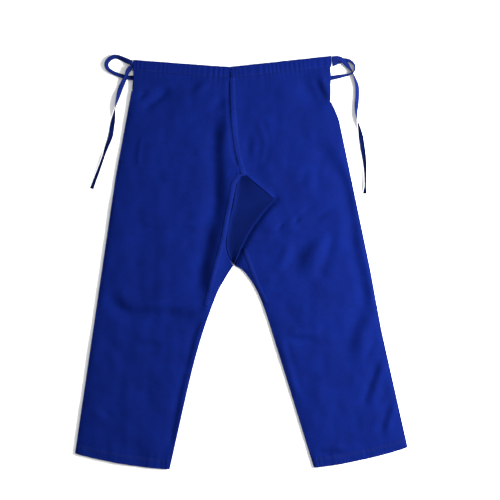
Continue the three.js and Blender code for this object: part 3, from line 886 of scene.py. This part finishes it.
front_run = lengths(chain(corner_left, DIP, corner_right))[-1]
low, high = CASING_HALF + CORD_APART, CASING_HALF - CORD_APART
behind = [(x, *BACK_RUN) for x in np.linspace(corner_left[0], corner_right[0], 16)]
for name, body, route in [
        ("left_root_tape", "left_tail", threaded(0, ROOT, low, LOWER_RUN)),
        ("front_run_lower_tape", "seat", threaded(ROOT, front_run, low, LOWER_RUN)),
        ("front_run_upper_tape", "seat", threaded(0, front_run - ROOT, high, UPPER_RUN)),
        ("right_root_tape", "right_tail", threaded(front_run - ROOT, front_run, high, UPPER_RUN)),
        ("back_run_tape", "seat", behind)]:
    piece, _, _ = tape(name, route, [(0, 0), (1, 0)], hollow=0.0)
    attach(piece, body)
    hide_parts("drawcord_" + name.replace("_tape", ""))

# ---------------------------------------------------------------- vent facings
# Below the casings the outseams stay open as short side vents. Their edges are
# turned under, front and back, and stitched down inside.

FACING = 20.0
UNDER_FRONT = 1.2
OVER_BACK = 1.1


def facing(side, front):
    """The turned-under strip inside one edge of a vent."""
    leg = LEG[side]
    inward = 1 if side == "left" else -1
    top = DIP[1] - BACK_DROP if not front else leg["corner"][1]
    edge = chain((leg["corner"][0], top - CASING_DEPTH - 1), (leg["foot"][0], leg["foot"][1] + 2))

    def spot(across, along):
        at = pick(edge, along)
        x, y = at[:, 0] + inward * (1 + across * (FACING - 1)), at[:, 1]
        if front:
            height = front_height(x, y, side) - UNDER_FRONT
        else:
            height = back_height(x, y) + OVER_BACK
        return np.column_stack([x, y, height])

    word = "front" if front else "back"
    piece = lay(f"{side}_{word}_vent_edge", 8, 20, spot, (FACING, 60), 0.8, seam_cloth)
    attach(piece, "seat")
    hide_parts(f"{side}_{word}_vent_facing")
    if front:
        share = np.linspace(0, 1, 30)
        at = pick(edge, share)
        x, y = at[:, 0] + inward * (FACING - 3), at[:, 1]
        row = np.column_stack([x, y, front_height(x, y, side) + CLOTH / 2 + 0.1])
        stitching(f"{side}_vent_stitching", [row], "seat")


for side in LEG:
    for front in (True, False):
        facing(side, front)

# ---------------------------------------------------------------- hems
# Each cuff is turned up inside and held by two rows of stitching, which have
# puckered it. It is the firmest part of the leg and moves with the shin.

HEM_HALF = 0.8
HEM_ROWS = (HEM_DEPTH - 3.0, HEM_DEPTH - 7.0)


def hem(side, front):
    """The turned-up band of one cuff's front or back, folded along its lower edge."""
    leg = LEG[side]
    edge = cut(HEM_EDGE[side], 2, 2)
    up = np.array(UP_LEG[side])
    length = lengths(edge)[-1]
    rows = int(length / SLEEVE_STEP)

    def spot(across, along):
        turn = 2 * pi * across
        rise = HEM_DEPTH / 2 * (1 + np.cos(turn))
        flat = pick(edge, along) + up * rise[:, None]
        wave = np.sign(np.sin(turn)) * np.abs(np.sin(turn)) ** 0.5 * HEM_HALF
        x, y = flat[:, 0], flat[:, 1]
        run = along * length
        if front:
            height = front_height(x, y, side) + 0.35 * puckers(run, 6, 7.7) * np.clip(np.sin(turn), 0, 1)
        else:
            height = back_height(x, y) + 0.3
        uneven = 0.5 * puckers(run, 14, 1.1) * (rise < 3)
        return np.column_stack([x, y + uneven * 0.6, height + wave])

    word = "front" if front else "back"
    piece = lay(f"{side}_{word}_hem_band", 28, rows, spot, (2 * HEM_DEPTH, length), 0.8, drill, closed=True)
    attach(piece, f"{side}_lower_leg")
    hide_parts(f"{side}_{word}_hem")
    if front:
        share = np.linspace(0.005, 0.995, rows)
        lines = []
        for rise in HEM_ROWS:
            turn = np.arccos(rise / (HEM_DEPTH / 2) - 1) / (2 * pi)
            lines.append(spot(np.full(rows, turn), share) + [0, 0, 0.5])
        stitching(f"{side}_hem_stitching", lines, f"{side}_lower_leg")


for side in LEG:
    for front in (True, False):
        hem(side, front)
